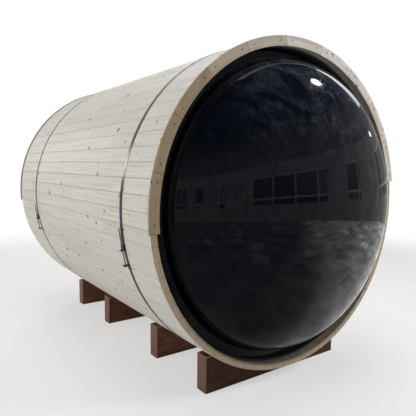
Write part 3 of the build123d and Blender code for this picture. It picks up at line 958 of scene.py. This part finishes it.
class SAUNA_OT_bolts(bpy.types.Operator):
    """Threads the long bolts that draw the hoops together, with their nuts and washers."""

    bl_idname = "sauna.bolts"
    bl_label = "Make the tensioner bolts"

    def execute(self, context):
        steel = context.scene.sauna_steel
        finish = metal_finish("zinc_plated_bolt", steel.bolt_colour, 0.32, CRYSTALS)
        tilt, circle = steel.rod_angle, steel.rod_circle
        # reach runs down along the rod from where it lies nearest to the barrel: the rod starts
        # 5.5 degrees above that place, and the lugs stand 1.5 and 6.5 degrees below it. The nut
        # and the head press on them over washers
        top = -circle * np.tan(radians(5.5))
        half_lug, washer, head_height = 0.0028, 0.0016, 0.007
        nut_seat = circle * np.tan(radians(1.5)) - half_lug
        head_seat = circle * np.tan(radians(6.5)) + half_lug
        six = hexagon(steel.nut_flats)
        flat, corner = steel.nut_flats / 2, steel.nut_flats / 2 / cos(radians(30))
        bore, washer_radius, washer_edge = steel.rod_radius + 0.0003, 0.0085, 0.0003
        bevel = 0.0009

        def ring(low, high, outer, edge, outline=None):
            section = [(bore, low), (outer - edge, low), (outer, low + edge / 2),
                       (outer, high - edge / 2), (outer - edge, high), (bore, high)]
            return bar(np.array(section), 48, outline, hollow=True)

        head_low, head_high = head_seat + washer, head_seat + head_height
        head = [(0, head_low), (flat, head_low), (corner, head_low + bevel / 2),
                (corner, head_high - bevel / 2), (flat * 0.94, head_high), (0, head_high)]
        bolt = joined([
            threaded_rod(steel, top, head_low),
            ring(nut_seat - washer - steel.nut_length, nut_seat - washer, corner, bevel, six),
            ring(nut_seat - washer, nut_seat, washer_radius, washer_edge),
            ring(head_seat, head_low, washer_radius, washer_edge),
            bar(np.array(head), 48, six),
        ])
        for end in ("front", "rear"):
            low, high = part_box(f"{end}_hoop_left_bolt")
            for name, side in (("left", -1), ("right", 1)):
                down = np.array((-side * sin(tilt), 0, -cos(tilt)))
                out = np.array((side * cos(tilt), 0, -sin(tilt)))
                place = np.eye(4)
                place[:3, :3] = np.stack([out, np.cross(down, out), down], axis=1)
                place[:3, 3] = circle * out + (0, (low[1] + high[1]) / 2, AXIS_HEIGHT)
                made = piece(f"{end}_{name}_tensioner", copies(bolt, [place]), finish)
                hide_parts(f"{end}_hoop_{name}_bolt")
        return {"FINISHED"}


class SAUNA_OT_pull(bpy.types.Operator):
    """Turns the door pull: a grip that swells in the middle, on two flared stems."""

    bl_idname = "sauna.pull"
    bl_label = "Turn the door pull"

    def execute(self, context):
        length = PULL_HIGH[2] - PULL_LOW[2]
        radius = (PULL_HIGH[0] - PULL_LOW[0]) / 2
        x = (PULL_HIGH[0] + PULL_LOW[0]) / 2
        y = PULL_HIGH[1] - radius
        # the grip is a slow sine swell between two quarter-ellipse ends, each 9 mm long
        turn = np.linspace(0, np.pi / 2, 10)
        end, cap = 0.88 * radius, 0.009
        run = np.linspace(0, 1, 40)[1:-1]
        swell = end + (radius - end) * np.sin(np.pi * run)
        grip = np.concatenate([
            np.stack([end * np.sin(turn), cap * (1 - np.cos(turn))], axis=-1),
            np.stack([swell, cap + (length - 2 * cap) * run], axis=-1),
            np.stack([end * np.cos(turn), length - cap * (1 - np.sin(turn))], axis=-1),
        ])
        # a stem narrows quickly from its flared foot, 26 mm wide, to its shank, 17 mm wide
        rise = np.linspace(0, y - PULL_LOW[1], 16)
        stem = np.stack([0.0085 + 0.0045 * np.exp(-rise / 0.004), rise], axis=-1)
        stem = np.vstack([(0, 0), stem, (0, rise[-1])])
        inset = 0.04  # from each end of the grip to its stem
        shape = joined([
            copies(bar(grip, 40), [Matrix.Translation((x, y, PULL_LOW[2]))]),
            copies(bar(stem, 32), [facing(1, x, PULL_LOW[1], PULL_LOW[2] + inset),
                                   facing(1, x, PULL_LOW[1], PULL_HIGH[2] - inset)]),
        ])
        made = piece("door_pull", shape, pull_finish(context.scene.sauna_timber))
        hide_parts("door_handle")
        return {"FINISHED"}


class SAUNA_OT_stage(bpy.types.Operator):
    """Lays the pale floor, sets the white room and the cards that the dome mirrors, hangs the lamps
    and sets the camera.
    """

    bl_idname = "sauna.stage"
    bl_label = "Set the studio"

    def execute(self, context):
        studio = context.scene.sauna_studio
        scene = context.scene
        scene.view_settings.view_transform = "Standard"
        material, add = finish_named("pale_floor")
        place = add("TexCoord").outputs["Object"]
        # the floor turns white far from the sauna, where it meets the white room
        far = add("MapRange", add("VectorMath.LENGTH", place), 2.6, 6.5)
        grain = add("TexNoise", place, 3.0, 4.0)
        tone = add("MapRange", grain, 0.3, 0.7, 0.97, 1.0)
        colour = add("VectorMath.SCALE", tuple(studio.floor_colour), tone)
        matt = add("BsdfPrincipled", sockets={"Base Color": colour, "Roughness": 0.8})
        share = add("*", add("Math.MAXIMUM", far, 0.5), seen(add))
        add("OutputMaterial", add("MixShader", share, matt, add("Emission", WHITE, 1.0)))
        corners = 40.0 * np.array([(-1, -1, 0), (1, -1, 0), (1, 1, 0), (-1, 1, 0)])
        floor = stage_piece("studio_floor", corners, np.arange(4)[None], material)

        world = bpy.data.worlds.new("studio_room")
        world.use_nodes = True
        world.node_tree.nodes.clear()
        add = partial(add_node, world.node_tree)
        # a grey band of wall round the horizon and a dark ceiling light the sauna, and the eye and
        # polished faces see a white room
        way = add("SeparateXYZ", add("TexCoord").outputs["Generated"]).outputs
        wall = add("MapRange", way["Z"], 0.42, 0.26, interpolation_type="SMOOTHSTEP")
        right = add("MapRange", way["X"], -0.2, 0.9)
        side = add("Mix", right, rgba(studio.wall_colour), rgba(studio.window_colour))
        room = add("Mix", wall, rgba(studio.ceiling_colour), side)
        room = add("Mix", seen(add), room, WHITE)
        add("OutputWorld", add("Background", room, 1.0))
        scene.world = world

        # each lamp's size, its place, the point that it looks at and whether the dome mirrors it
        lamp("key_lamp", studio.key_power, 4.0, (-9.0, 0.6, 4.0), (0, 0, 1.1), False)
        lamp("fill_lamp", studio.fill_power, 2.0, (3.2, -4.6, 4.2), (0.2, -1.2, 1.4), False)
        lamp("top_lamp", studio.top_power, 8.0, (-1.0, -1.0, 15.0), (-1.0, -1.0, 0), False)
        lamp("rear_lamp", studio.rear_power, 3.0, (2.5, 8.0, 4.5), (0, 1.5, 1.1), False)
        lamp("strap_lamp", studio.strap_power, 0.9, (-2.48, 2.78, 2.26), (-1.01, -0.85, 1.41),
             True)
        lamp("glint_lamp", studio.glint_power, 0.38, (2.89, -2.02, 4.56), (-0.02, -1.35, 1.91),
             True)
        lamp("small_glint_lamp", studio.small_glint_power, 0.14, (4.34, -1.25, 2.53),
             (0.45, -1.40, 1.62), True)
        light_band()
        dark_cards(studio.ceiling_colour)

        camera = bpy.data.cameras.new("photo_camera")
        camera.sensor_width = 36.0
        camera.lens = studio.lens
        holder = bpy.data.objects.new("photo_camera", camera)
        scene.collection.objects.link(holder)
        turn = Matrix(CAMERA_AXES).transposed().to_4x4()
        holder.matrix_world = Matrix.Translation(CAMERA_PLACE) @ turn
        scene.camera = holder
        return {"FINISHED"}


def seen(add):
    """One for rays that come straight from the eye or from a polished or clear face."""
    path = add("LightPath")
    both = add("Math.MAXIMUM", path.outputs["Is Camera Ray"], path.outputs["Is Glossy Ray"])
    return add("Math.MAXIMUM", both, path.outputs["Is Transmission Ray"])


def light_band():
    """A bent band of light behind and above the dome, which draws the pale line along its upper
    rim. Its middle line is a curve of the second degree through three directions, and its width
    lies along the curve's own binormal."""
    ends = np.array([(-0.15, 0.79, 0.59), (0.95, 0.21, 0.25)])
    middle = np.array((0.64, 0.44, 0.68))
    share = np.linspace(0, 1, 25)[:, None]
    bow = 2 * middle - ends.mean(axis=0)
    line = (1 - share) ** 2 * ends[0] + 2 * share * (1 - share) * bow + share ** 2 * ends[1]
    line = line / np.linalg.norm(line, axis=1, keepdims=True)
    across = np.cross(np.gradient(line, axis=0), line)
    across /= np.linalg.norm(across, axis=1, keepdims=True)
    reach, half = 5.0, 0.45
    line = np.array((0.0, -1.2, 2.0)) + reach * line
    rows = np.stack([line - half * across, line + half * across], 1)
    quads = 2 * np.arange(len(line) - 1)[:, None] + (0, 1, 3, 2)
    material, add = finish_named("light_band")
    # the band dims towards the right
    place = add("SeparateXYZ", add("TexCoord").outputs["Object"]).outputs["X"]
    power = add("MapRange", place, 3.3, 4.7, 9.0, 1.8)
    add("OutputMaterial", add("Emission", (0.95, 0.98, 1.0, 1.0), power))
    return stage_piece("studio_light_band", rows.reshape(-1, 3), quads, material, True)


def dark_cards(ceiling):
    """Cards round the front of the dome, as in a studio for glossy goods: a mat on the floor, a
    bent wall of panels and a lid, which only polished faces show. The mat and the lid are flat
    rings and the wall a cylinder about the dome, all over the same turn."""
    turn = np.radians(np.linspace(-150, 112, 56))
    around = np.stack([np.sin(turn), -np.cos(turn)], axis=-1)
    centre, reach = np.array((0.0, -1.2)), 7.5
    rows = [(0.0, 0.004), (reach, 0.004), (reach, 5.0), (reach, 7.0), (0.0, 7.0)]
    grid = np.stack([np.column_stack([centre + radius * around, 0 * turn + height])
                     for radius, height in rows])
    count = len(turn)
    corner = count * np.arange(len(rows) - 1)[:, None] + np.arange(count - 1)
    quads = (corner[..., None] + (0, 1, count + 1, count)).reshape(-1, 4)

    material, add = finish_named("dim_card")
    place = add("TexCoord").outputs["Object"]
    x, y, z = add("SeparateXYZ", place).outputs
    ahead = add("+", y, 1.2)
    # the mat pales towards the right, where it lies nearer to the lamps, in blotches 0.7 m wide
    slant = add("*+", ahead, 0.6, x)
    mat = add("MapRange", slant, -0.6, 1.2, 0.24, 0.95, interpolation_type="SMOOTHSTEP")
    cloud = add("TexNoise", place, 1.5, 5.0, 0.65)
    mat = add("*", mat, add("MapRange", cloud, 0.35, 0.65, 0.55, 1.35))
    # square patches 0.5 m wide, in some cells of 0.74 m, are paler or deeper than the rest
    cells = add("TexVoronoi", add("CombineXYZ", x, y), sockets={"Scale": 1.35},
                voronoi_dimensions="2D", distance="CHEBYCHEV")
    pick = add("SeparateColor", cells.outputs["Color"]).outputs["Red"]
    pale = add("MapRange", pick, 0.82, 0.86, 1.0, 1.8)
    deep = add("MapRange", pick, 0.2, 0.16, 1.0, 0.7)
    near = add("MapRange", cells.outputs["Distance"], 0.34, 0.3)
    patch = add("+", add("*", pale, deep), -1.0)
    mat = add("*", mat, add("*+", patch, near, 1.0))
    # panels 1.7 m wide and 1.3 m high stand in some stretches of the wall
    run = add("Math.ARCTAN2", x, add("*", ahead, -1.0))
    run = add("*", run, reach)
    panels = add("TexBrick", add("CombineXYZ", run, z), (0.06, 0.06, 0.07, 1.0),
                 (0.32, 0.32, 0.33, 1.0), (0.62, 0.62, 0.60, 1.0), offset=0.0,
                 sockets={"Scale": 1.0, "Mortar Size": 0.05, "Brick Width": 1.7,
                          "Row Height": 1.3})
    glazed = add("*", add("MapRange", z, 0.9, 1.0), add("MapRange", z, 2.7, 2.6))
    stretch = add("TexNoise", run, 0.35, 0.0, noise_dimensions="1D")
    glazed = add("*", glazed, add("MapRange", stretch, 0.47, 0.49))
    wall = add("Mix", glazed, add("MapRange", cloud, 0.3, 0.7, 0.26, 0.5), panels)
    wall = add("VectorMath.SCALE", wall, add("MapRange", z, 3.3, 3.5, 1.0, 0.55))
    wall = add("Mix", add("MapRange", z, 4.0, 6.8), wall, rgba(ceiling))
    shade = add("Mix", add("Math.GREATER_THAN", z, 0.01), mat, wall)
    add("OutputMaterial", add("Emission", shade, 1.0))
    return stage_piece("studio_dark_cards", grid.reshape(-1, 3), quads, material, True)


def stage_piece(name, points, faces, material, only_mirrored=False):
    """A sheet of the studio. An only mirrored one shows in polished faces, and lights and shades
    nothing else."""
    mesh = bpy.data.meshes.new(name)
    mesh.from_pydata(points.tolist(), [], faces.tolist())
    mesh.materials.append(material)
    made = bpy.data.objects.new(name, mesh)
    bpy.context.scene.collection.objects.link(made)
    if only_mirrored:
        made.visible_camera = made.visible_diffuse = made.visible_shadow = False
        made.visible_transmission = made.visible_volume_scatter = False
    return made


def lamp(name, power, size, place, target, mirrored):
    """A square soft lamp that looks at a point. The dome mirrors only those that are meant to
    glint in it."""
    light = bpy.data.lights.new(name, "AREA")
    light.energy = power
    light.size = size
    light.shape = "DISK" if mirrored else "SQUARE"
    made = bpy.data.objects.new(name, light)
    made.visible_camera = False
    made.visible_glossy = mirrored
    made.visible_diffuse = not mirrored
    way = Matrix.Translation(place).to_translation() - Matrix.Translation(target).to_translation()
    made.matrix_world = Matrix.Translation(place) @ way.to_track_quat("Z", "Y").to_matrix().to_4x4()
    bpy.context.scene.collection.objects.link(made)


class SAUNA_PT_panel(bpy.types.Panel):
    """Lists the steps that dress the sauna."""

    bl_idname = "SAUNA_PT_panel"
    bl_label = "Barrel sauna"
    bl_space_type = "VIEW_3D"
    bl_region_type = "UI"
    bl_category = "Sauna"

    def draw(self, context):
        for step in STEPS:
            self.layout.operator(step.bl_idname)


GROUPS = {
    "sauna_timber": SaunaTimber,
    "sauna_dome": SaunaDome,
    "sauna_steel": SaunaSteel,
    "sauna_studio": SaunaStudio,
}
STEPS = (
    SAUNA_OT_timber, SAUNA_OT_steel, SAUNA_OT_dome, SAUNA_OT_screws, SAUNA_OT_bolts,
    SAUNA_OT_pull, SAUNA_OT_stage,
)


def register():
    """Registers the sizes, the steps and the panel."""
    for name, group in GROUPS.items():
        bpy.utils.register_class(group)
        setattr(bpy.types.Scene, name, bpy.props.PointerProperty(type=group))
    for step in STEPS:
        bpy.utils.register_class(step)
    bpy.utils.register_class(SAUNA_PT_panel)


def unregister():
    """Takes everything back."""
    bpy.utils.unregister_class(SAUNA_PT_panel)
    for step in reversed(STEPS):
        bpy.utils.unregister_class(step)
    for name, group in GROUPS.items():
        delattr(bpy.types.Scene, name)
        bpy.utils.unregister_class(group)


def main():
    """Dresses the sauna step by step."""
    register()
    bpy.ops.sauna.timber()
    bpy.ops.sauna.steel()
    bpy.ops.sauna.dome()
    bpy.ops.sauna.screws()
    bpy.ops.sauna.bolts()
    bpy.ops.sauna.pull()
    bpy.ops.sauna.stage()


if __name__ == "__main__":
    main()
